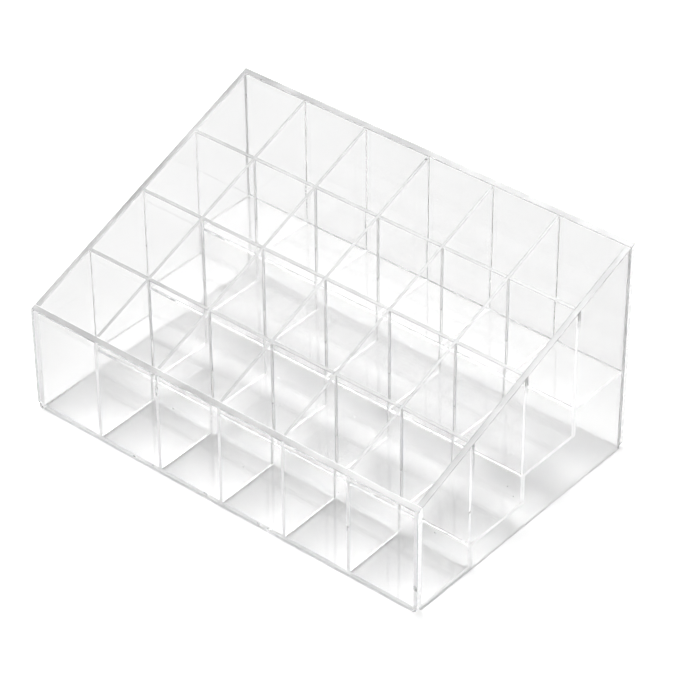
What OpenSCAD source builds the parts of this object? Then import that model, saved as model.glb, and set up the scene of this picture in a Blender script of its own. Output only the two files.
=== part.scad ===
// Tiered organizer of clear cut sheet: a box with a slanted open top, a floor
// that climbs in steps towards the back, and a grid of thin slotted dividers.
// Millimetres. +X is the organizer's right, +Y its back, +Z up. The origin is
// on the table, under the middle of the box.

/* [Box] */
// Width of the box over its side panels
overall_w = 145; // [110:1:200]
// Depth of the box from its front face to its back face
overall_d = 96; // [80:1:130]
// Height of the front face
front_h = 36; // [26:0.5:50]
// Height of the back face
back_h = 72.5; // [60:0.5:100]
// Radius at the bottom corners of the front and back panels
foot_corner_r = 2; // [0.5:0.5:4]

/* [Sheet] */
// Thickness of the front, back and side panels
wall_t = 2; // [1.5:0.1:3]
// Thickness of the tier floors
floor_t = 1.2; // [1:0.1:2]
// Thickness of the risers under the front edges of the tiers
riser_t = 1; // [0.8:0.1:2]
// Thickness of the dividers
divider_t = 1; // [0.8:0.1:1.5]

/* [Tiers] */
// Height of the second tier's upper face above the table
tier_2_h = 9; // [6:0.5:12]
// Height of the third tier's upper face above the table
tier_3_h = 19; // [15:0.5:22]
// Height of the rear tier's upper face above the table
tier_4_h = 28.5; // [25:0.5:34]

/* [Cells] */
// Number of cells across the width
columns = 6; // [3:1:8]
// Gap between a divider and each wall of a slot that it sits in
slot_gap = 0.05; // [0.03:0.01:0.2]

/* [Hidden] */
// Upper face of each tier, front to back: the front floor lies on the table
tier_tops = [floor_t, tier_2_h, tier_3_h, tier_4_h];
rows = len(tier_tops);
steps = rows - 1;
// How far a cutting shape runs past what it cuts
overrun = 1;
// Clear sheet seen on white, faintly cool
clear_sheet = [0.9, 0.94, 0.96, 0.4];

front_y = -overall_d / 2;
back_y = overall_d / 2;
inner_w = overall_w - 2 * wall_t;
inner_front_y = front_y + wall_t;
inner_back_y = back_y - wall_t;
// Every tier has the same clear depth between one step's riser and the next divider
tier_clear_d = (inner_back_y - inner_front_y - steps * (divider_t + riser_t)) / rows;
step_pitch = tier_clear_d + divider_t + riser_t;
cell_w = (inner_w - (columns - 1) * divider_t) / columns;
top_slope = (back_h - front_h) / overall_d;

// Height of the slanted top above the table at depth y
function top_z(y) = front_h + (y - front_y) * top_slope;
// Front face of a cross divider, which stands just before its step's riser
function cross_y(step) = inner_front_y + tier_clear_d + (step - 1) * step_pitch;
// Front face of a riser, where the tier above it begins
function riser_y(step) = cross_y(step) + divider_t;
// Left face of a long divider
function long_x(line) = -inner_w / 2 + cell_w + (line - 1) * (cell_w + divider_t);
// Height at which the two halves of a crossing meet
function lap_z(step) = (tier_tops[step - 1] + top_z(cross_y(step) + divider_t / 2)) / 2;

// A sheet that faces left and right, cut to an outline of depth and height
module side_sheet(left_x, thickness) {
    translate([left_x, 0, 0])
        rotate([90, 0, 90])
            linear_extrude(thickness) children();
}

// A sheet that faces front and back, cut to an outline of width and height
module facing_sheet(near_y, thickness) {
    translate([0, near_y + thickness, 0])
        rotate([90, 0, 0])
            linear_extrude(thickness) children();
}

// Everything below the slanted top
module under_top() {
    far = overall_d / 2 + overrun;
    side_sheet(-overall_w / 2 - overrun, overall_w + 2 * overrun)
        polygon([[-far, -overrun], [far, -overrun], [far, top_z(far)], [-far, top_z(-far)]]);
}

// What a rounded corner takes off a square one, at the origin
module corner_waste(radius) {
    difference() {
        translate([-overrun, -overrun]) square(radius + overrun);
        translate([radius, radius]) circle(radius, $fn = 48);
    }
}

// Front or back panel: full width, rounded where its bottom corners meet the table
module end_panel(near_y) {
    intersection() {
        facing_sheet(near_y, wall_t)
            difference() {
                translate([-overall_w / 2, 0]) square([overall_w, back_h + overrun]);
                for (side = [0, 1]) mirror([side, 0])
                    translate([-overall_w / 2, 0]) corner_waste(foot_corner_r);
            }
        under_top();
    }
}

module front_panel() {
    color(clear_sheet) end_panel(front_y);
}

module back_panel() {
    color(clear_sheet) end_panel(inner_back_y);
}

// Side panel: between the front and back panels, standing on the table
module side_panel(left_x) {
    color(clear_sheet)
        side_sheet(left_x, wall_t)
            polygon([
                [inner_front_y, 0], [inner_back_y, 0],
                [inner_back_y, top_z(inner_back_y)], [inner_front_y, top_z(inner_front_y)]
            ]);
}

module left_side_panel() {
    side_panel(-overall_w / 2);
}

module right_side_panel() {
    side_panel(inner_w / 2);
}

// Floor of one tier: it begins over its riser and ends under the next one
module tier_floor(tier) {
    near_y = tier == 1 ? inner_front_y : riser_y(tier - 1);
    far_y = tier == rows ? inner_back_y : riser_y(tier) + riser_t;
    color(clear_sheet)
        translate([-inner_w / 2, near_y, tier_tops[tier - 1] - floor_t])
            cube([inner_w, far_y - near_y, floor_t]);
}

// Riser of one step: it stands on the lower tier and carries the upper one
module riser(step) {
    bottom_z = tier_tops[step - 1];
    color(clear_sheet)
        translate([-inner_w / 2, riser_y(step), bottom_z])
            cube([inner_w, riser_t, tier_tops[step] - floor_t - bottom_z]);
}

// Cross divider: wall to wall, with a slot from its top edge for each long divider
module cross_divider(step) {
    bottom_z = tier_tops[step - 1];
    slot_w = divider_t + 2 * slot_gap;
    slot_floor_z = lap_z(step) - slot_gap;
    color(clear_sheet)
        intersection() {
            facing_sheet(cross_y(step), divider_t)
                difference() {
                    translate([-inner_w / 2, bottom_z]) square([inner_w, back_h]);
                    for (line = [1:columns - 1])
                        translate([long_x(line) - slot_gap, slot_floor_z]) square([slot_w, back_h]);
                }
            under_top();
        }
}

// Outline of a long divider's foot: flat on each tier, with a step up at each riser
function stair_foot() = [
    for (tier = [1:rows]) each [
        [tier == 1 ? inner_front_y : riser_y(tier - 1), tier_tops[tier - 1]],
        [tier == rows ? inner_back_y : riser_y(tier), tier_tops[tier - 1]]
    ]
];

// Long divider: front to back, with a slot from its foot for each cross divider
module long_divider(line) {
    slot_w = divider_t + 2 * slot_gap;
    color(clear_sheet)
        side_sheet(long_x(line), divider_t)
            difference() {
                polygon(concat(stair_foot(), [
                    [inner_back_y, top_z(inner_back_y)], [inner_front_y, top_z(inner_front_y)]
                ]));
                for (step = [1:steps])
                    translate([cross_y(step) - slot_gap, 0]) square([slot_w, lap_z(step) + slot_gap]);
            }
}

front_panel();
back_panel();
left_side_panel();
right_side_panel();
for (tier = [1:rows]) tier_floor(tier);
for (step = [1:steps]) riser(step);
for (step = [1:steps]) cross_divider(step);
for (line = [1:columns - 1]) long_divider(line);
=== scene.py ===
# %% [markdown]
# # A stepped organizer of clear sheet
# The real object is a small open box of clear, colourless acrylic sheet. Its top slopes down to the
# front, its floor climbs in steps, and thin dividers make 24 cells for lipsticks and small bottles.
# Every piece is a flat sheet, cut to an outline and cemented at its edges. So nearly all that the eye
# gets is edges: the cut rims, the cemented ends, and the small faults that handling and cement leave.
#
# The solids already have the right sizes. This script gives each sheet the things that clear sheet
# needs to look real: softened corners, a thin film of air or cement where sheets meet, and materials
# with scratches, smudges, saw marks and dust. A studio of white floor and soft light comes last.

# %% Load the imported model
import math

import bmesh
import bpy
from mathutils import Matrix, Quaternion, Vector


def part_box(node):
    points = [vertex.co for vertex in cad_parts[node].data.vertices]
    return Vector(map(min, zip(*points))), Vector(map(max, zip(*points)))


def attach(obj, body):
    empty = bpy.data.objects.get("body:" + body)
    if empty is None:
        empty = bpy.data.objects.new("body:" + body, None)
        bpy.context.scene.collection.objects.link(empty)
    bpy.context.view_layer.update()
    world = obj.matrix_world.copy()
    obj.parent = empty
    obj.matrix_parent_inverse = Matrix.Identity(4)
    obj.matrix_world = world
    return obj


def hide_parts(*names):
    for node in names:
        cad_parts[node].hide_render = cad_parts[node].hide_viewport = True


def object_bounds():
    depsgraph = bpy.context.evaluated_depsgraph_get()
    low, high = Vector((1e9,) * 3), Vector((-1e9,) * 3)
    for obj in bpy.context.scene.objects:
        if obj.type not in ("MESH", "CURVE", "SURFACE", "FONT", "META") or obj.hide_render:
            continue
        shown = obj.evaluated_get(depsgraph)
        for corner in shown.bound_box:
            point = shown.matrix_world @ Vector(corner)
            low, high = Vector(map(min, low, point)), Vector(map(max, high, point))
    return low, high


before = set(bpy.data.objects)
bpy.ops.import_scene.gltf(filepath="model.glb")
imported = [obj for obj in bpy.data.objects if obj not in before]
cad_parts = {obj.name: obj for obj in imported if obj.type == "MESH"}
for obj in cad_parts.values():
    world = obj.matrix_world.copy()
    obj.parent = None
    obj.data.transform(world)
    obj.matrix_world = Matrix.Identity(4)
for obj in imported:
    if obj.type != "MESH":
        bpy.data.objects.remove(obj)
cad_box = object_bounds()
print("CAD nodes:", len(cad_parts))
print("CAD box in mm:", [round(1000 * v, 2) for corner in cad_box for v in corner])

# %% [markdown]
# ## Sizes that the looks need
# The frame is in metres, so small finishing sizes are written in millimetres and turned over here.
# A cut sheet has no perfectly sharp corner. A tool or a flame takes a little off, and the highlight
# that runs along a rim lives on that narrow round.

# %% Finishing sizes
MM = 0.001
# Closer than this, two corners of a loose triangle mesh are one
weld = 0.002 * MM
# How near a face or a corner lies to a plane that it belongs to
on_plane = 0.02 * MM
# Space left between faces that are cemented or stand on each other
film = 0.03 * MM
# Smallest side of a joint, and how far a sheet may stand past its neighbour and still be covered
least_joint = 0.3 * MM
slack = 0.3 * MM
# Rounds on the edges of the thick panels and of the thin inner sheets
panel_round = 0.22 * MM
sheet_round = 0.1 * MM
# Radius of the panels' bottom corners: below it, a side panel's end stands free of its neighbour
foot_corner = 2.0 * MM
# Share of a face's normal along an axis above which the face lies square across that axis
square_share = 0.98
# Least shares of a normal that tell a slanted top face: upwards, and towards the front or back
rim_up_share = 0.8
rim_slant_share = 0.2
# Folds sharper than this are cut edges and get a round
cut_edge_angle = math.radians(30)
# Folds sharper than this after the rounding were left square, and shade as two flat faces
unrounded_angle = math.radians(40)
flat_angle = math.radians(1)

TIERS = ["tier_floor_1", "tier_floor_2", "tier_floor_3", "tier_floor_4"]
RISERS = ["riser_1", "riser_2", "riser_3"]
CROSS = ["cross_divider_1", "cross_divider_2", "cross_divider_3"]
LONG = [f"long_divider_{line}" for line in range(1, 6)]
PANELS = ["front_panel", "back_panel", "left_side_panel", "right_side_panel"]

X, Y, Z = 0, 1, 2
LOW, HIGH = 0, 1
inner_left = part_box("left_side_panel")[HIGH].x
inner_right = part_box("right_side_panel")[LOW].x
inner_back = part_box("back_panel")[LOW].y
tier_top = [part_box(name)[HIGH].z for name in TIERS]
print("inside width in mm:", round((inner_right - inner_left) / MM, 2))
print("tier heights in mm:", [round(z / MM, 2) for z in tier_top])

# %% [markdown]
# ## Node groups for wear
# Clear sheet hides nothing, so its wear is fine: hair scratches from wiping, faint smudges from
# fingers, and a few specks of dust. Three groups hold these effects, built once and placed in each
# material with its own values. Each gives only masks. The shader itself stays in the material.

# %% A helper for node trees
def add_node(tree, kind, **settings):
    """Adds a node and sets its properties or, where a name is a socket's, its input value."""
    node = tree.nodes.new(kind)
    for name, value in settings.items():
        if hasattr(node, name):
            setattr(node, name, value)
        else:
            node.inputs[name.replace("_", " ")].default_value = value
    return node


def new_group(name, inputs, outputs):
    """A shader node group with named number inputs, a Vector input, and named number outputs."""
    tree = bpy.data.node_groups.new(name, "ShaderNodeTree")
    tree.interface.new_socket("Vector", in_out="INPUT", socket_type="NodeSocketVector")
    for socket, value in inputs.items():
        made = tree.interface.new_socket(socket, in_out="INPUT", socket_type="NodeSocketFloat")
        made.default_value = value
    for socket in outputs:
        tree.interface.new_socket(socket, in_out="OUTPUT", socket_type="NodeSocketFloat")
    return tree, add_node(tree, "NodeGroupInput"), add_node(tree, "NodeGroupOutput")


def math_node(tree, operation, first, second=None, third=None):
    """A Math node fed by sockets or plain numbers. Gives its output socket."""
    node = tree.nodes.new("ShaderNodeMath")
    node.operation = operation
    for index, value in enumerate((first, second, third)):
        if value is None:
            continue
        if isinstance(value, (int, float)):
            node.inputs[index].default_value = value
        else:
            tree.links.new(value, node.inputs[index])
    return node.outputs["Value"]


def ramp(tree, value, low, high, low_result=0.0, high_result=1.0):
    """Smoothly maps a value between two levels."""
    node = tree.nodes.new("ShaderNodeMapRange")
    node.interpolation_type = "SMOOTHSTEP"
    tree.links.new(value, node.inputs["Value"])
    node.inputs["From Min"].default_value = low
    node.inputs["From Max"].default_value = high
    node.inputs["To Min"].default_value = low_result
    node.inputs["To Max"].default_value = high_result
    return node.outputs["Result"]


# %% Hair scratches
# Pattern cells in a metre, along a scratch and across it: few along and many across make it a line
scratch_cells = (30.0, 620.0, 620.0)


def make_scratch_group():
    """Thin lines in three directions, each a Voronoi crack pattern stretched until it is a line."""
    tree, inputs, outputs = new_group("hair_scratches", {"Scale": 1.0}, ["Mask"])
    total = None
    for turn, seed in ((0.35, 0.0), (1.3, 7.0), (2.45, 15.0)):
        mapping = add_node(tree, "ShaderNodeMapping")
        mapping.inputs["Location"].default_value = (seed, seed, seed)
        mapping.inputs["Rotation"].default_value = (turn, turn * 0.6, turn)
        mapping.inputs["Scale"].default_value = scratch_cells
        tree.links.new(inputs.outputs["Vector"], mapping.inputs["Vector"])
        cells = add_node(tree, "ShaderNodeTexVoronoi", feature="DISTANCE_TO_EDGE")
        tree.links.new(mapping.outputs["Vector"], cells.inputs["Vector"])
        tree.links.new(inputs.outputs["Scale"], cells.inputs["Scale"])
        line = ramp(tree, cells.outputs["Distance"], 0.0, 0.03, 1.0, 0.0)
        total = line if total is None else math_node(tree, "MAXIMUM", total, line)
    patches = add_node(tree, "ShaderNodeTexNoise", Scale=70.0, Detail=3.0)
    tree.links.new(inputs.outputs["Vector"], patches.inputs["Vector"])
    where = ramp(tree, patches.outputs["Fac"], 0.46, 0.66)
    tree.links.new(math_node(tree, "MULTIPLY", total, where), outputs.inputs["Mask"])
    return tree


# %% Smudges
def make_smudge_group():
    """Soft cloudy marks of a fingertip's size, with a finer grain inside them."""
    tree, inputs, outputs = new_group("smudges", {"Scale": 1.0, "Cover": 0.5}, ["Mask"])
    large = add_node(tree, "ShaderNodeTexNoise", Scale=1.0, Detail=4.0, Roughness=0.6, Distortion=0.8)
    fine = add_node(tree, "ShaderNodeTexNoise", Scale=9.0, Detail=5.0, Roughness=0.7)
    scaled = add_node(tree, "ShaderNodeVectorMath", operation="SCALE")
    tree.links.new(inputs.outputs["Vector"], scaled.inputs[0])
    tree.links.new(inputs.outputs["Scale"], scaled.inputs["Scale"])
    for noise in (large, fine):
        tree.links.new(scaled.outputs["Vector"], noise.inputs["Vector"])
    start = math_node(tree, "SUBTRACT", 0.72, math_node(tree, "MULTIPLY", inputs.outputs["Cover"], 0.3))
    over = math_node(tree, "SUBTRACT", large.outputs["Fac"], start)
    cloud = ramp(tree, over, 0.0, 0.16)
    grain = ramp(tree, fine.outputs["Fac"], 0.3, 0.7, 0.35, 1.0)
    tree.links.new(math_node(tree, "MULTIPLY", cloud, grain), outputs.inputs["Mask"])
    return tree


# %% Dust
def make_dust_group():
    """Sparse specks: the few cells of a Voronoi pattern whose random value is high, near their points."""
    tree, inputs, outputs = new_group("dust", {"Scale": 900.0, "Share": 0.02}, ["Mask"])
    cells = add_node(tree, "ShaderNodeTexVoronoi")
    tree.links.new(inputs.outputs["Vector"], cells.inputs["Vector"])
    tree.links.new(inputs.outputs["Scale"], cells.inputs["Scale"])
    split = add_node(tree, "ShaderNodeSeparateColor")
    tree.links.new(cells.outputs["Color"], split.inputs["Color"])
    least = math_node(tree, "SUBTRACT", 1.0, inputs.outputs["Share"])
    chosen = math_node(tree, "GREATER_THAN", split.outputs["Red"], least)
    near = ramp(tree, cells.outputs["Distance"], 0.1, 0.3, 1.0, 0.0)
    tree.links.new(math_node(tree, "MULTIPLY", chosen, near), outputs.inputs["Mask"])
    return tree


SCRATCHES = make_scratch_group()
SMUDGES = make_smudge_group()
DUST = make_dust_group()
print("wear groups:", SCRATCHES.name, SMUDGES.name, DUST.name)


# %% [markdown]
# ## Clear acrylic
# Acrylic bends light a little less than glass: its index is 1.49. The sheet itself has next to no
# colour. Its face is smooth, so Roughness stays near zero, and wear lifts it only in scratches and
# smudges. A very weak bump keeps reflections from being the perfect ones of a computer's plane.

# %% Clear face material
def place_group(tree, group, vector, **values):
    """Puts a node group in a material, feeds it coordinates and sets its own values."""
    node = add_node(tree, "ShaderNodeGroup")
    node.node_tree = group
    tree.links.new(vector, node.inputs["Vector"])
    for name, value in values.items():
        node.inputs[name].default_value = value
    return node


# How strongly acrylic bends light
acrylic_index = 1.49
# Roughness of a polished face, and how much a full smudge and a speck of dust add to it
polish_rough = 0.005
smudge_rough = 0.1
dust_rough = 0.25
# Smudges in a metre, which makes each about a centimetre wide
smudge_scale = 90.0


def grey(level):
    """A colour without hue."""
    return (level, level, level, 1.0)


def new_material(name):
    """An empty material with a Principled shader, its output and Object coordinates."""
    material = bpy.data.materials.new(name)
    material.use_nodes = True
    tree = material.node_tree
    tree.nodes.clear()
    shader = add_node(tree, "ShaderNodeBsdfPrincipled")
    output = add_node(tree, "ShaderNodeOutputMaterial")
    tree.links.new(shader.outputs["BSDF"], output.inputs["Surface"])
    place = add_node(tree, "ShaderNodeTexCoord")
    return material, tree, shader, place.outputs["Object"]


def clear_face(name, clarity, smudge_cover, scratch_strength):
    """The open face of a clear sheet, with its wear. Clarity is the light that a crossing keeps."""
    material, tree, shader, place = new_material(name)
    shader.inputs["Base Color"].default_value = grey(clarity)
    shader.inputs["IOR"].default_value = acrylic_index
    shader.inputs["Transmission Weight"].default_value = 1.0
    scratches = place_group(tree, SCRATCHES, place, Scale=1.0)
    smudges = place_group(tree, SMUDGES, place, Scale=smudge_scale, Cover=smudge_cover)
    dust = place_group(tree, DUST, place)
    marks = math_node(tree, "MULTIPLY", scratches.outputs["Mask"], scratch_strength)
    rough = math_node(tree, "MULTIPLY_ADD", smudges.outputs["Mask"], smudge_rough, marks)
    rough = math_node(tree, "MULTIPLY_ADD", dust.outputs["Mask"], dust_rough, rough)
    tree.links.new(math_node(tree, "ADD", rough, polish_rough), shader.inputs["Roughness"])
    waves = add_node(tree, "ShaderNodeTexNoise", Scale=60.0, Detail=2.0)
    tree.links.new(place, waves.inputs["Vector"])
    bump = add_node(tree, "ShaderNodeBump", Strength=0.02, Distance=0.0004)
    tree.links.new(waves.outputs["Fac"], bump.inputs["Height"])
    tree.links.new(bump.outputs["Normal"], shader.inputs["Normal"])
    return material


# %% [markdown]
# ## Cut edges and cemented joints
# A cut edge is polished until it is nearly clear, but it keeps a trace of the saw: a fine grain in
# its gloss, a slow change of tone along it, and here and there a small dark chip. The grey base colour
# of the rims is painted shade: it stands for the shaded floor that a rim shows down through its
# sheet. Where two sheets are cemented, solvent wets both faces and they become one: light passes
# straight on, and the joint can't be seen. Here that is Alpha, 0 where the joint is wetted. Where air
# stayed in, or the sawn face stayed dry, the joint is frosted white, in patches and in round bubbles,
# and Alpha is 1.
#
# The stair's ends show white through the side panel. Only the sawn end is rough there: the panel's own
# face stays polished over it, with a little air between. Frosting both faces looks like the simple way,
# but then the white lies inside the acrylic, which traps more than half of its light, and the line
# turns grey. Both faces read the same pattern, so they are wetted and dry in the same places.

# %% Saw grain
def make_grain_group():
    """The trace of a saw and a polishing wheel: a fine grain, and a slow change of tone."""
    tree, inputs, outputs = new_group("saw_grain", {"Scale": 800.0, "Slow": 60.0}, ["Grain", "Tone"])
    for socket, result, detail in (("Scale", "Grain", 3.0), ("Slow", "Tone", 2.0)):
        noise = add_node(tree, "ShaderNodeTexNoise", Detail=detail)
        tree.links.new(inputs.outputs["Vector"], noise.inputs["Vector"])
        tree.links.new(inputs.outputs[socket], noise.inputs["Scale"])
        tree.links.new(ramp(tree, noise.outputs["Fac"], 0.3, 0.7), outputs.inputs[result])
    return tree


# %% Dry patches and bubbles
def make_dry_group():
    """Where cement hasn't wetted a joint: torn patches, and round bubbles near them."""
    tree, inputs, outputs = new_group("dry_joint", {"Scale": 160.0, "Dry": 0.5, "Bubbles": 0.3}, ["Mask"])
    patches = add_node(tree, "ShaderNodeTexNoise", Detail=6.0, Roughness=0.65)
    tree.links.new(inputs.outputs["Vector"], patches.inputs["Vector"])
    tree.links.new(inputs.outputs["Scale"], patches.inputs["Scale"])
    least = math_node(tree, "MULTIPLY_ADD", inputs.outputs["Dry"], -0.5, 0.75)
    torn = ramp(tree, math_node(tree, "SUBTRACT", patches.outputs["Fac"], least), 0.0, 0.06)
    cells = add_node(tree, "ShaderNodeTexVoronoi")
    tree.links.new(inputs.outputs["Vector"], cells.inputs["Vector"])
    cell_scale = math_node(tree, "MULTIPLY", inputs.outputs["Scale"], 6.0)
    tree.links.new(cell_scale, cells.inputs["Scale"])
    split = add_node(tree, "ShaderNodeSeparateColor")
    tree.links.new(cells.outputs["Color"], split.inputs["Color"])
    share = math_node(tree, "SUBTRACT", 1.0, inputs.outputs["Bubbles"])
    chosen = math_node(tree, "GREATER_THAN", split.outputs["Red"], share)
    round_mask = ramp(tree, cells.outputs["Distance"], 0.3, 0.36, 1.0, 0.0)
    bubbles = math_node(tree, "MULTIPLY", chosen, round_mask)
    tree.links.new(math_node(tree, "MAXIMUM", torn, bubbles), outputs.inputs["Mask"])
    return tree


SAW_GRAIN = make_grain_group()
DRY_JOINT = make_dry_group()


# %% Cut edge and joint materials
# Tone of a chip in a cut edge, and how much darker than the rest the grain makes a frosted joint
chip_tone = 0.02
grain_depth = 0.08


def cut_edge(name, dark, light, clear_share, roughness, chip_share):
    """A sawn and polished edge: partly clear, with a grain in tone and gloss, and dark chips. On the rims
    its grey base colour is painted shade; on the panels' ends it is whitish.
    """
    material, tree, shader, place = new_material(name)
    shader.inputs["IOR"].default_value = acrylic_index
    shader.inputs["Transmission Weight"].default_value = clear_share
    grain = place_group(tree, SAW_GRAIN, place)
    tone = add_node(tree, "ShaderNodeMix", data_type="RGBA")
    tree.links.new(grain.outputs["Tone"], tone.inputs["Factor"])
    tone.inputs[6].default_value = grey(dark)
    tone.inputs[7].default_value = grey(light)
    chips = place_group(tree, DUST, place, Scale=600.0, Share=chip_share)
    chipped = add_node(tree, "ShaderNodeMix", data_type="RGBA")
    tree.links.new(chips.outputs["Mask"], chipped.inputs["Factor"])
    tree.links.new(tone.outputs[2], chipped.inputs[6])
    chipped.inputs[7].default_value = grey(chip_tone)
    tree.links.new(chipped.outputs[2], shader.inputs["Base Color"])
    gloss = ramp(tree, grain.outputs["Grain"], 0.0, 1.0, 0.5 * roughness, roughness)
    tree.links.new(gloss, shader.inputs["Roughness"])
    return material


def sawn_lap(name, least, most, white):
    """The walls of a sawn slot and what stands in it: mostly wetted by cement, with a faint haze."""
    material, tree, shader, place = new_material(name)
    shader.inputs["Base Color"].default_value = grey(white)
    shader.inputs["IOR"].default_value = acrylic_index
    grain = place_group(tree, SAW_GRAIN, place, Slow=140.0)
    shader.inputs["Transmission Weight"].default_value = 0.5
    tree.links.new(ramp(tree, grain.outputs["Tone"], 0.2, 0.8, least, most), shader.inputs["Alpha"])
    tree.links.new(ramp(tree, grain.outputs["Grain"], 0.0, 1.0, 0.6, 0.8), shader.inputs["Roughness"])
    return material


def covered_face(name, dry, bubbles):
    """A polished face over a cemented end: gone where the cement wets it, clear where it stayed dry."""
    material, tree, shader, place = new_material(name)
    shader.inputs["Base Color"].default_value = grey(1.0)
    shader.inputs["IOR"].default_value = acrylic_index
    shader.inputs["Transmission Weight"].default_value = 1.0
    mask = place_group(tree, DRY_JOINT, place, Dry=dry, Bubbles=bubbles)
    tree.links.new(mask.outputs["Mask"], shader.inputs["Alpha"])
    smudges = place_group(tree, SMUDGES, place, Scale=smudge_scale, Cover=0.4)
    rough = math_node(tree, "MULTIPLY_ADD", smudges.outputs["Mask"], smudge_rough, polish_rough)
    tree.links.new(rough, shader.inputs["Roughness"])
    return material


def joint(name, dry, bubbles, white):
    """A cemented joint: clear where it is wetted, frosted white where it stayed dry."""
    material, tree, shader, place = new_material(name)
    shader.inputs["IOR"].default_value = acrylic_index
    mask = place_group(tree, DRY_JOINT, place, Dry=dry, Bubbles=bubbles)
    tree.links.new(mask.outputs["Mask"], shader.inputs["Alpha"])
    grain = place_group(tree, SAW_GRAIN, place, Scale=1500.0)
    tone = add_node(tree, "ShaderNodeMix", data_type="RGBA")
    tree.links.new(grain.outputs["Grain"], tone.inputs["Factor"])
    tone.inputs[6].default_value = grey(white - grain_depth)
    tone.inputs[7].default_value = grey(white)
    tree.links.new(tone.outputs[2], shader.inputs["Base Color"])
    tree.links.new(ramp(tree, grain.outputs["Grain"], 0.0, 1.0, 0.6, 0.9), shader.inputs["Roughness"])
    return material


# How dry a joint with a wall stayed, and its share of bubbles: the same on both of its faces
wall_dry = 0.85
wall_bubbles = 0.3

PANEL_FACE = clear_face("panel_acrylic", clarity=0.955, smudge_cover=0.45, scratch_strength=0.25)
FLOOR_FACE = clear_face("floor_acrylic", clarity=0.97, smudge_cover=0.6, scratch_strength=0.25)
DIVIDER_FACE = clear_face("divider_acrylic", clarity=1.0, smudge_cover=0.4, scratch_strength=0.2)
# The rims' grey base colour is painted shade, for the shaded floor that a rim shows down through its
# sheet.
PANEL_RIM = cut_edge(
    "panel_rim", dark=0.45, light=0.66, clear_share=0.4, roughness=0.15, chip_share=0.03
)
DIVIDER_RIM = cut_edge(
    "divider_rim", dark=0.54, light=0.64, clear_share=0.35, roughness=0.25, chip_share=0.004
)
PANEL_END = cut_edge(
    "panel_end", dark=0.95, light=1.0, clear_share=0.1, roughness=0.3, chip_share=0.01
)
SAWN_LAP = sawn_lap("sawn_lap", least=0.5, most=0.6, white=1.0)
WALL_JOINT = joint("wall_joint", dry=wall_dry, bubbles=wall_bubbles, white=1.0)
INNER_JOINT = joint("inner_joint", dry=0.05, bubbles=0.01, white=1.0)
COVERED_FACE = covered_face("covered_face", dry=wall_dry, bubbles=wall_bubbles)
print("materials:", [m.name for m in bpy.data.materials])


# %% [markdown]
# ## From CAD node to dressed sheet
# Each sheet starts as a copy of its CAD node, so it can't drift from the real size. The copy's loose
# triangles are welded and its flat faces dissolved, which leaves a clean outline to work on. A face
# that another sheet covers is drawn in by the width of a cement film: two clear surfaces in exactly
# the same place confuse a renderer, and the real joint has a film too. Then each cut edge is rounded,
# and the outline of each neighbour is cut into the broad faces, so that both sides of a joint can
# have the joint's material. The neighbours are found from the boxes, so no joint has to be listed.
# A cut leaves the faces in another order each run, so each sheet is sorted by place at the end.

# %% Helpers that dress a sheet
def sheet_copy(node):
    """A clean bmesh copy of a CAD node: welded corners, and flat faces without their triangles."""
    bm = bmesh.new()
    bm.from_mesh(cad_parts[node].data)
    bmesh.ops.remove_doubles(bm, verts=bm.verts, dist=weld)
    bmesh.ops.dissolve_limit(bm, angle_limit=flat_angle, verts=bm.verts, edges=bm.edges)
    return bm


def draw_in(bm, axis, plane, step):
    """Moves the corners that lie on a plane across one axis by a step along it."""
    for v in bm.verts:
        if abs(v.co[axis] - plane) < on_plane:
            v.co[axis] += step


def round_edges(bm, width, joint_edges):
    """Rounds open cut edges with two short facets. Those in a joint or on the table stay square."""
    cut = [e for e in bm.edges if e.calc_face_angle(0.0) > cut_edge_angle and e not in joint_edges]
    sharp = [e for e in cut if max(v.co.z for v in e.verts) > on_plane]
    bmesh.ops.bevel(bm, geom=sharp, offset=width, affect="EDGES", segments=2, profile=0.5, material=-1)
    return len(sharp)


def mark_rim(bm):
    """Gives the slanted top faces of a sheet the rim's material slot."""
    for face in bm.faces:
        if face.normal.z > rim_up_share and abs(face.normal.y) > rim_slant_share:
            face.material_index = RIM_SLOT


def mark_ends(bm, axis, slot_index):
    """Gives the square faces across one axis another material slot."""
    for face in bm.faces:
        if abs(face.normal[axis]) > square_share:
            face.material_index = slot_index


FACE_SLOT, RIM_SLOT, END_SLOT, WALL_SLOT, INNER_SLOT, COVERED_SLOT = 0, 1, 2, 3, 4, 5
# Sheets whose sawn ends meet the polished inner faces of the side panels
ENDS_ON_SIDES = TIERS + RISERS + CROSS
SHEETS = PANELS + TIERS + RISERS + CROSS + LONG
FROSTED = {"front_panel", "left_side_panel", "right_side_panel"}


# %% Where sheets touch
def blocks(name):
    """The boxes that a sheet fills: one, or for a long divider one over each tier."""
    low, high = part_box(name)
    if name not in LONG:
        return [(low, high)]
    legs = []
    for tier, floor_name in enumerate(TIERS):
        near_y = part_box(floor_name)[LOW].y
        far_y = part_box(CROSS[tier])[LOW].y if tier < len(CROSS) else inner_back
        legs.append((Vector((low.x, near_y, tier_top[tier])), Vector((high.x, far_y, high.z))))
    return legs


def contact(block, other):
    """Where two boxes touch: the axis across the joint, its plane and the rectangle that they share."""
    (low, high), (other_low, other_high) = block, other
    for axis in (X, Y, Z):
        if abs(high[axis] - other_low[axis]) < on_plane:
            plane = high[axis]
        elif abs(low[axis] - other_high[axis]) < on_plane:
            plane = low[axis]
        else:
            continue
        sides = [side for side in (X, Y, Z) if side != axis]
        shared = [(max(low[a], other_low[a]), min(high[a], other_high[a])) for a in sides]
        if all(end - start > least_joint for start, end in shared):
            return axis, plane, dict(zip(sides, shared))
    return None


def half_lap(name, other):
    """Where a divider's two faces pass between the walls of the other's slot."""
    axis, side = (Y, X) if name in CROSS else (X, Y)
    planes = [corner[axis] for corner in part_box(name)]
    low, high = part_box(other)
    rectangle = {side: (low[side], high[side]), Z: (0.0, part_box(name)[HIGH].z)}
    return [(axis, plane, rectangle, END_SLOT) for plane in planes]


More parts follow.
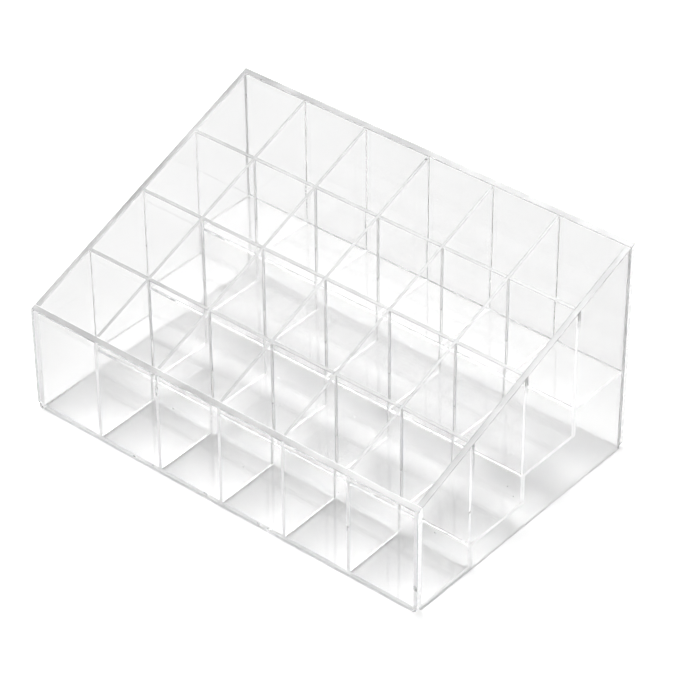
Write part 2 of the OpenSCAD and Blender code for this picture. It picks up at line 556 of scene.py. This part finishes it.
def joints_of(name):
    """Each joint of a sheet: the axis across it, its plane, its rectangle and its material slot."""
    found = []
    for other in SHEETS:
        if other == name:
            continue
        if (name in CROSS and other in LONG) or (name in LONG and other in CROSS):
            found.extend(half_lap(name, other))
            continue
        resting = (name in LONG and other in TIERS) or (name in TIERS and other in LONG)
        slot_index = WALL_SLOT if {name, other} & FROSTED else INNER_SLOT
        if resting:
            slot_index = FACE_SLOT
        elif name in ("left_side_panel", "right_side_panel") and other in ENDS_ON_SIDES:
            slot_index = COVERED_SLOT
        for block in blocks(name):
            for touched in blocks(other):
                shared = contact(block, touched)
                if shared is None:
                    continue
                if name in PANELS and other in PANELS:
                    shared[2][Z] = (foot_corner, shared[2][Z][HIGH])
                found.append((*shared, slot_index))
    return found


def draw_in_covered(bm, name):
    """Draws each face that one neighbour covers whole in by the film. Gives those faces' edges."""
    low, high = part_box(name)
    joint_edges = set()
    for axis, plane, rectangle, slot_index in joints_of(name):
        corners = [v for v in bm.verts if abs(v.co[axis] - plane) < on_plane]
        if name in PANELS and slot_index == WALL_SLOT:
            rectangle = {**rectangle, Z: (low.z, rectangle[Z][HIGH])}
        covered = all(
            start - slack < v.co[a] < end + slack for v in corners for a, (start, end) in rectangle.items()
        )
        foot = name in LONG and axis == Z
        if covered:
            joint_edges.update(e for v in corners for e in v.link_edges if e.other_vert(v) in corners)
            draw_in(bm, axis, plane, film if foot or plane < (low[axis] + high[axis]) / 2 else -film)
    return joint_edges


def faces_on(bm, axis, plane):
    """The faces that lie on a joint's plane, or drawn in from it by the film."""
    square = [face for face in bm.faces if abs(face.normal[axis]) > square_share]
    return [face for face in square if abs(face.calc_center_median()[axis] - plane) < on_plane + film]


def cut_in_joints(bm, name):
    """Cuts the outline of each joint into the sheet's face and gives what is inside the joint's slot."""
    marked = 0
    for axis, plane, rectangle, slot_index in joints_of(name):
        if slot_index == FACE_SLOT:
            continue
        for side, ends in rectangle.items():
            for end in ends:
                faces = faces_on(bm, axis, plane)
                place = Vector((0.0, 0.0, 0.0))
                place[side] = end
                across = Vector((0.0, 0.0, 0.0))
                across[side] = 1.0
                edges = list({edge for face in faces for edge in face.edges})
                verts = list({vert for face in faces for vert in face.verts})
                bmesh.ops.bisect_plane(
                    bm, geom=verts + edges + faces, dist=weld, plane_co=place, plane_no=across
                )
        for face in faces_on(bm, axis, plane):
            centre = face.calc_center_median()
            if all(start < centre[a] < end for a, (start, end) in rectangle.items()):
                face.material_index = slot_index
                marked += 1
    return marked


def steady_order(bm):
    """Sorts corners, edges and faces by place, because cutting leaves them in another order each run."""
    orders = (
        (bm.verts, lambda vert: vert.co[:]),
        (bm.edges, lambda edge: sorted(vert.index for vert in edge.verts)),
        (bm.faces, lambda face: sorted(vert.index for vert in face.verts)),
    )
    for elements, order in orders:
        for index, element in enumerate(sorted(elements, key=order)):
            element.index = index
        elements.sort()
        elements.index_update()


def finish_sheet(bm, name, face_material):
    """Makes the object of a dressed sheet and lets it stand for its CAD node."""
    steady_order(bm)
    bmesh.ops.recalc_face_normals(bm, faces=bm.faces)
    for face in bm.faces:
        face.smooth = True
    for edge in bm.edges:
        edge.smooth = edge.calc_face_angle(0.0) < unrounded_angle
    mesh = bpy.data.meshes.new(name + "_sheet")
    bm.to_mesh(mesh)
    bm.free()
    divider = name in CROSS + LONG
    rim = DIVIDER_RIM if divider else PANEL_RIM
    end = SAWN_LAP if divider else PANEL_END
    for material in (face_material, rim, end, WALL_JOINT, INNER_JOINT, COVERED_FACE):
        mesh.materials.append(material)
    sheet = bpy.data.objects.new(name + "_sheet", mesh)
    bpy.context.scene.collection.objects.link(sheet)
    weighted = sheet.modifiers.new("flat_faces", "WEIGHTED_NORMAL")
    weighted.keep_sharp = True
    weighted.weight = 90
    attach(sheet, "root")
    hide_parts(name)


# %% [markdown]
# ## Panels
# The front and back panels run the full width. The side panels stand between them, so only the side
# panels' ends are cemented. The ends of the front and back panels show at the corners, and they are
# polished less well than the rims. All four panels stand on the table, and the faces that they stand
# on are left as sawn, so their long edges there are square and show as a pale line.

# %% Front, back and side panels
def dress_panel(name):
    """A thick outer panel: rounded cut edges, polished rim, and the marks of what is cemented to it."""
    bm = sheet_copy(name)
    joint_edges = draw_in_covered(bm, name)
    count = round_edges(bm, panel_round, joint_edges)
    mark_ends(bm, X if name in ("front_panel", "back_panel") else Y, END_SLOT)
    mark_ends(bm, Z, END_SLOT)
    mark_rim(bm)
    marked = cut_in_joints(bm, name)
    print(name, "joint edges:", len(joint_edges), "rounded:", count, "joint faces:", marked)
    finish_sheet(bm, name, PANEL_FACE)


for panel in PANELS:
    dress_panel(panel)


# %% [markdown]
# ## Floors and risers
# Each raised floor lies on the riser at its front edge, and its ends are cemented to the side panels.
# Sawn ends take cement badly, and that is why the stair shows as white lines through the side panel.

# %% Floors and risers
def dress_stair(name):
    """A floor or riser: thin sheet whose cut edges all meet another sheet."""
    bm = sheet_copy(name)
    joint_edges = draw_in_covered(bm, name)
    count = round_edges(bm, sheet_round, joint_edges)
    marked = cut_in_joints(bm, name)
    print(name, "joint edges:", len(joint_edges), "rounded:", count, "joint faces:", marked)
    finish_sheet(bm, name, FLOOR_FACE)


for stair in TIERS + RISERS:
    dress_stair(stair)


# %% [markdown]
# ## Dividers
# The cross dividers run wall to wall and have slots from the top. The long dividers have a foot cut
# like a stair and slots from below, and they drop over the cross dividers at fifteen crossings. The
# slots are sawn and not polished, so at each crossing a pale upright line shows. Their box alone would
# not tell where that line is, so each crossing marks a strip on both broad faces. The feet of the long
# dividers only rest on the floors: with air under them they mirror, and show as thin bright lines.

# %% Dividers
def dress_divider(name):
    """A divider: polished rim, sawn slots and cemented ends. Only a cross divider's foot is cemented."""
    bm = sheet_copy(name)
    joint_edges = draw_in_covered(bm, name)
    count = round_edges(bm, sheet_round, joint_edges)
    mark_ends(bm, X if name in CROSS else Y, END_SLOT)
    mark_rim(bm)
    marked = cut_in_joints(bm, name)
    print(name, "joint edges:", len(joint_edges), "rounded:", count, "joint faces:", marked)
    finish_sheet(bm, name, DIVIDER_FACE)


for divider in CROSS + LONG:
    dress_divider(divider)

# %% [markdown]
# ## Studio
# Clear sheet is photographed on white, in soft light from all round. The floor is a plain matt white.
# A glow of its own is added for the camera, so that paper reads as white. It is stronger than that
# takes: beside the organizer the floor clips to white and the shadow is lost, so it shows only where
# the floor is seen through the sheets. Rays that come through or off the sheets get a little of the
# glow too, but only beyond the organizer's outline. Leaving it out under the organizer paints a shade
# there, over the real shade of the paper. More lamp light would have made the floor as white, but it
# would have bleached the sheets as well.
#
# The world is the rest of the tent. Flat clear faces mirror only a few places in it, so its soft
# lights stand where those places are: one key high at the back, and a patch towards each upper
# corner. Frosted joints face the right front and are lit from low down, so a strip lies just above
# the horizon there. Near the horizon the sheets see the same white background as the camera.

# %% Floor
def make_floor(size, drop):
    """A square white floor a hair below the organizer's foot."""
    bm = bmesh.new()
    bmesh.ops.create_grid(bm, x_segments=1, y_segments=1, size=size)
    bmesh.ops.translate(bm, vec=(0.0, 0.0, -drop), verts=bm.verts)
    mesh = bpy.data.meshes.new("studio_floor")
    bm.to_mesh(mesh)
    bm.free()
    floor = bpy.data.objects.new("studio_floor", mesh)
    bpy.context.scene.collection.objects.link(floor)
    return floor


def painted_shade_footprint(tree, fade):
    """0 under the organizer and 1 beyond its outline, with a soft border. It leaves the glow out under the
    organizer, which paints a shade there.
    """
    high = cad_box[HIGH]
    place = add_node(tree, "ShaderNodeTexCoord").outputs["Object"]
    split = add_node(tree, "ShaderNodeSeparateXYZ")
    tree.links.new(place, split.inputs["Vector"])
    past = [
        math_node(tree, "SUBTRACT", math_node(tree, "ABSOLUTE", split.outputs[axis]), high[axis])
        for axis in (X, Y)
    ]
    return ramp(tree, math_node(tree, "MAXIMUM", *past), 0.0, fade)


def white_paper(name, albedo, seen_lift, painted_glow_beyond_outline):
    """Matt white that glows for the camera, and less for rays that come through or off the sheets. Those
    rays get no glow under the organizer, which paints a shade there.
    """
    material = bpy.data.materials.new(name)
    material.use_nodes = True
    tree = material.node_tree
    tree.nodes.clear()
    diffuse = add_node(tree, "ShaderNodeBsdfDiffuse")
    diffuse.inputs["Color"].default_value = grey(albedo)
    glow = add_node(tree, "ShaderNodeEmission")
    both = add_node(tree, "ShaderNodeAddShader")
    output = add_node(tree, "ShaderNodeOutputMaterial")
    path = add_node(tree, "ShaderNodeLightPath")
    inner = math_node(tree, "MAXIMUM", path.outputs["Is Glossy Ray"], path.outputs["Is Transmission Ray"])
    # Under the organizer these rays get no glow: a painted shade there.
    inner = math_node(tree, "MULTIPLY", inner, painted_shade_footprint(tree, fade=4.0 * MM))
    seen = math_node(tree, "MULTIPLY", path.outputs["Is Camera Ray"], seen_lift)
    tree.links.new(math_node(tree, "MULTIPLY_ADD", inner, painted_glow_beyond_outline, seen), glow.inputs["Strength"])
    tree.links.new(diffuse.outputs["BSDF"], both.inputs[0])
    tree.links.new(glow.outputs["Emission"], both.inputs[1])
    tree.links.new(both.outputs["Shader"], output.inputs["Surface"])
    return material


floor = make_floor(size=3.0, drop=0.05 * MM)
floor.data.materials.append(white_paper("white_paper", albedo=0.775, seen_lift=0.4, painted_glow_beyond_outline=0.05))

# %% World
# Brightness of the tent all round, and how much each soft light adds at its middle
tent_level = 0.42
key_level = 12.5
corner_level = 1.9
front_level = 14.0
# Each light's direction, and the angles from it at which it is full and at which it has faded
key_direction = Vector((-0.28, 0.18, 0.94))
key_angles = (math.radians(3), math.radians(22))
corner_direction = Vector((0.52, 0.61, 0.60))
corner_angles = (math.radians(5), math.radians(15))
front_direction = Vector((0.66, -0.74, 0.0))
front_angles = (math.radians(20), math.radians(70))
# Upward part of a direction at which the low strip starts to fade, and at which it has gone
strip_top = (0.05, 0.16)
# The same for the white background that the sheets see near the horizon, before the tent takes over
low_sky = (0.3, 0.5)


def soft_light(tree, place, direction, angles, level):
    """A round soft patch of light in the world. Gives its brightness."""
    towards = add_node(tree, "ShaderNodeVectorMath", operation="DOT_PRODUCT")
    tree.links.new(place, towards.inputs[0])
    towards.inputs[1].default_value = direction.normalized()
    full, faded = angles
    return ramp(tree, towards.outputs["Value"], math.cos(faded), math.cos(full), 0.0, level)


def add_upward(tree, place):
    """The upward part of a direction."""
    split = add_node(tree, "ShaderNodeSeparateXYZ")
    tree.links.new(place, split.inputs["Vector"])
    return split.outputs["Z"]


def make_world():
    """A tent: dim all round, with a key, upper corner patches and a low strip. The camera sees white."""
    world = bpy.data.worlds.new("tent")
    bpy.context.scene.world = world
    world.use_nodes = True
    tree = world.node_tree
    tree.nodes.clear()
    place = add_node(tree, "ShaderNodeTexCoord").outputs["Generated"]
    key = soft_light(tree, place, key_direction, key_angles, key_level)
    mirrored = add_node(tree, "ShaderNodeVectorMath", operation="ABSOLUTE")
    tree.links.new(place, mirrored.inputs[0])
    upward = add_upward(tree, place)
    above = math_node(tree, "GREATER_THAN", upward, 0.0)
    corners = soft_light(tree, mirrored.outputs["Vector"], corner_direction, corner_angles, corner_level)
    corners = math_node(tree, "MULTIPLY", corners, above)
    front = soft_light(tree, place, front_direction, front_angles, front_level)
    front = math_node(tree, "MULTIPLY", front, ramp(tree, upward, *strip_top, 1.0, 0.0))
    from_above = math_node(tree, "ADD", key, corners)
    from_around = math_node(tree, "ADD", front, tent_level)
    light = math_node(tree, "ADD", from_above, from_around)
    path = add_node(tree, "ShaderNodeLightPath")
    inner = math_node(tree, "MAXIMUM", path.outputs["Is Glossy Ray"], path.outputs["Is Transmission Ray"])
    off_paper = math_node(tree, "LESS_THAN", path.outputs["Diffuse Depth"], 1.0)
    inner = math_node(tree, "MULTIPLY", inner, off_paper)
    inner = math_node(tree, "MULTIPLY", inner, ramp(tree, upward, *low_sky, 1.0, 0.0))
    light = math_node(tree, "MAXIMUM", light, inner)
    pick = add_node(tree, "ShaderNodeMix", data_type="FLOAT")
    tree.links.new(path.outputs["Is Camera Ray"], pick.inputs["Factor"])
    tree.links.new(light, pick.inputs["A"])
    pick.inputs["B"].default_value = 1.0
    background = add_node(tree, "ShaderNodeBackground")
    tree.links.new(pick.outputs["Result"], background.inputs["Strength"])
    output = add_node(tree, "ShaderNodeOutputWorld")
    tree.links.new(background.outputs["Background"], output.inputs["Surface"])


make_world()

# %% [markdown]
# ## Camera and ray limits
# The picture was taken with a long lens from above the organizer's right front corner. A ray into
# this box crosses up to two dozen clear faces, far more than the usual limit, and where it stops
# short the sheet turns black. So the limits on bounces go up.

# %% Camera
camera_azimuth = math.radians(40.39)
camera_elevation = math.radians(36.78)
camera_roll = math.radians(-0.45)
camera_distance = 0.9105
camera_lens = 166.2
aim = Vector((0.0014, 0.0041, 0.030))


def make_camera():
    """A camera on a sphere round the aim point, upright but for a small roll."""
    data = bpy.data.cameras.new("camera")
    data.lens = camera_lens
    data.sensor_width = 36.0
    camera = bpy.data.objects.new("camera", data)
    bpy.context.scene.collection.objects.link(camera)
    level = math.cos(camera_elevation)
    across = math.sin(camera_azimuth) * level
    along = -math.cos(camera_azimuth) * level
    back = Vector((across, along, math.sin(camera_elevation)))
    camera.location = aim + back * camera_distance
    camera.rotation_mode = "QUATERNION"
    camera.rotation_quaternion = back.to_track_quat("Z", "Y") @ Quaternion((0, 0, 1), camera_roll)
    bpy.context.scene.camera = camera
    return camera


camera = make_camera()
print("camera at", [round(v, 4) for v in camera.location])
print("camera axes", [[round(v, 4) for v in row] for row in camera.rotation_quaternion.to_matrix()])

# %% Ray limits
ray_limit = 64
cycles = bpy.context.scene.cycles
cycles.max_bounces = ray_limit
cycles.transmission_bounces = ray_limit
cycles.glossy_bounces = ray_limit
cycles.blur_glossy = 0.0
cycles.diffuse_bounces = 4
cycles.transparent_max_bounces = ray_limit
bpy.context.scene.view_settings.view_transform = "Standard"
